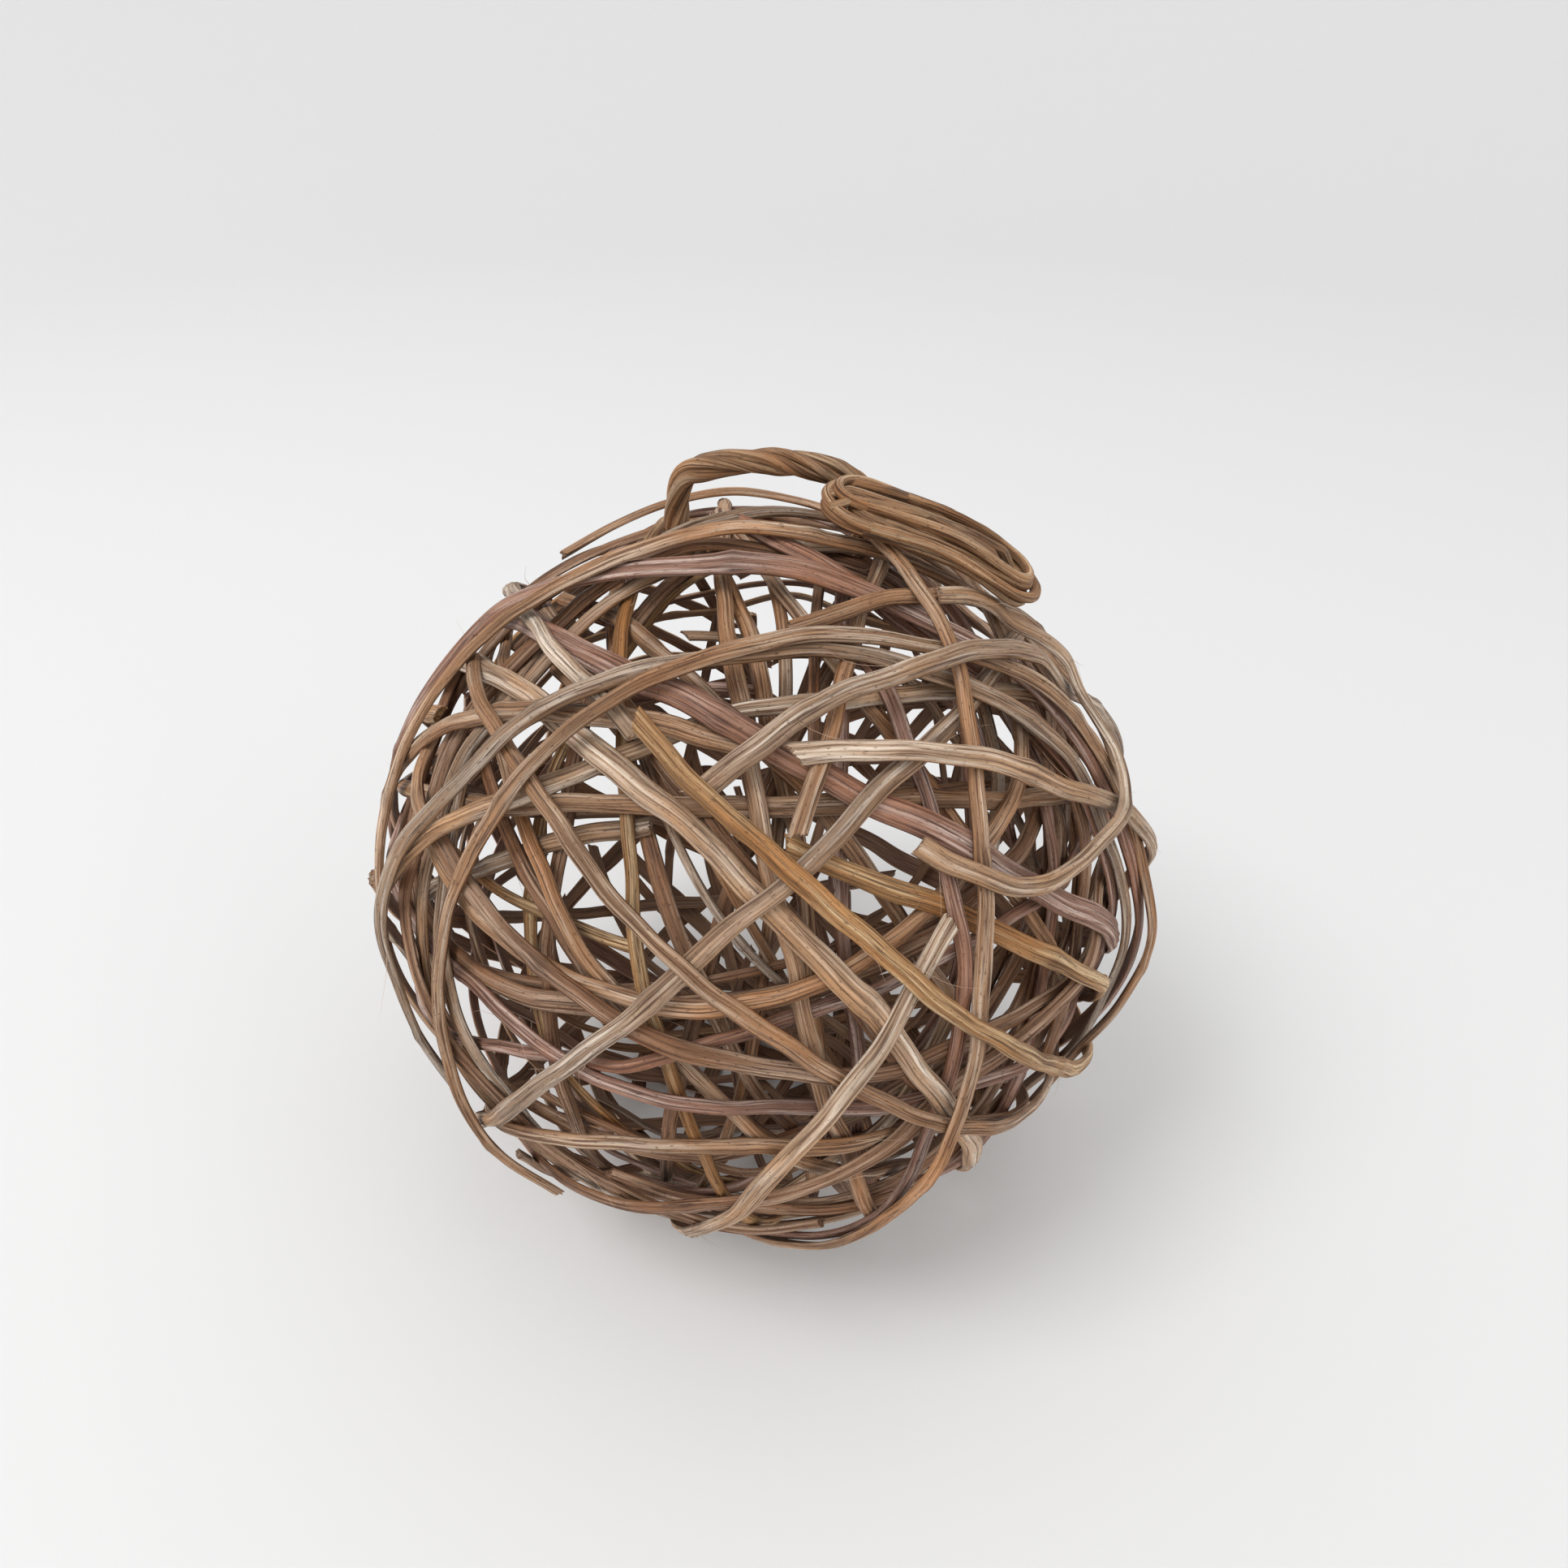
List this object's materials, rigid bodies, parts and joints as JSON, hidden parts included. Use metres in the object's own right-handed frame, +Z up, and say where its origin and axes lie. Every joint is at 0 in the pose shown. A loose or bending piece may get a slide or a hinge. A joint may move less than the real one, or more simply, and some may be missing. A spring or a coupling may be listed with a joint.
{
  "type": "decorative vine ball",
  "caption": "Hollow openwork ball wound from split vine strips, with a twisted vine handle arched over the top and a lashed bundle beside it.",
  "frame": {"origin": "middle of the bounding box on the floor that the ball stands on", "axes": "+Z up through the handle, -Y towards the front, +X to the right"},
  "size_m": [0.304, 0.301, 0.3116],
  "materials": {
    "tan_bark": "dry split vine, matt with a slight sheen",
    "grey_bark": "dry split vine, matt with a slight sheen",
    "mauve_bark": "dry split vine, matt with a slight sheen",
    "orange_bark": "dry split vine, matt with a slight sheen",
    "pale_bark": "dry split vine, matt with a slight sheen",
    "brown_bark": "dry split vine, matt with a slight sheen",
    "handle_bark": "dry split vine, matt with a slight sheen",
    "lashing_bark": "dry split vine, matt with a slight sheen"
  },
  "bodies": {
    "root": {"foot_vine_1": "brown_bark", "upright_vine_1": "brown_bark", "belt_vine_1": "grey_bark", "upright_vine_2": "pale_bark", "upright_vine_3": "tan_bark", "falling_vine_1": "tan_bark", "belt_vine_2": "brown_bark", "falling_vine_2": "brown_bark", "falling_vine_3": "brown_bark", "falling_vine_4": "tan_bark", "rim_vine_1": "brown_bark", "rim_vine_2": "brown_bark", "upright_vine_4": "orange_bark", "upright_vine_5": "mauve_bark", "falling_vine_5": "tan_bark", "belt_vine_3": "mauve_bark", "belt_vine_4": "mauve_bark", "belt_vine_5": "tan_bark", "upright_vine_6": "tan_bark", "crown_vine_1": "grey_bark", "crown_vine_2": "grey_bark", "rim_vine_3": "brown_bark", "belt_vine_6": "tan_bark", "belt_vine_7": "brown_bark", "belt_vine_8": "tan_bark", "rising_vine_1": "brown_bark", "upright_vine_7": "mauve_bark", "falling_vine_6": "orange_bark", "belt_vine_9": "pale_bark", "upright_vine_8": "mauve_bark", "falling_vine_7": "pale_bark", "belt_vine_10": "tan_bark", "falling_vine_8": "mauve_bark", "hooked_vine": "pale_bark", "upright_vine_9": "tan_bark", "rising_vine_2": "grey_bark", "falling_vine_9": "tan_bark", "crown_vine_3": "grey_bark", "crown_vine_4": "mauve_bark", "crown_vine_5": "tan_bark", "crown_vine_6": "tan_bark", "crown_vine_7": "tan_bark", "upright_vine_10": "tan_bark", "belt_vine_11": "pale_bark", "rising_vine_3": "grey_bark", "rising_vine_4": "pale_bark", "falling_vine_10": "orange_bark", "rising_vine_5": "pale_bark", "foot_vine_2": "brown_bark", "handle_strand_1": "handle_bark", "handle_strand_2": "handle_bark", "handle_strand_3": "handle_bark", "handle_strand_4": "handle_bark", "lashing_loop_1": "lashing_bark", "lashing_loop_2": "lashing_bark", "lashing_loop_3": "lashing_bark", "lashing_loop_4": "lashing_bark", "lashing_tail_1": "lashing_bark", "lashing_tail_2": "lashing_bark"}
  },
  "joints": []
}
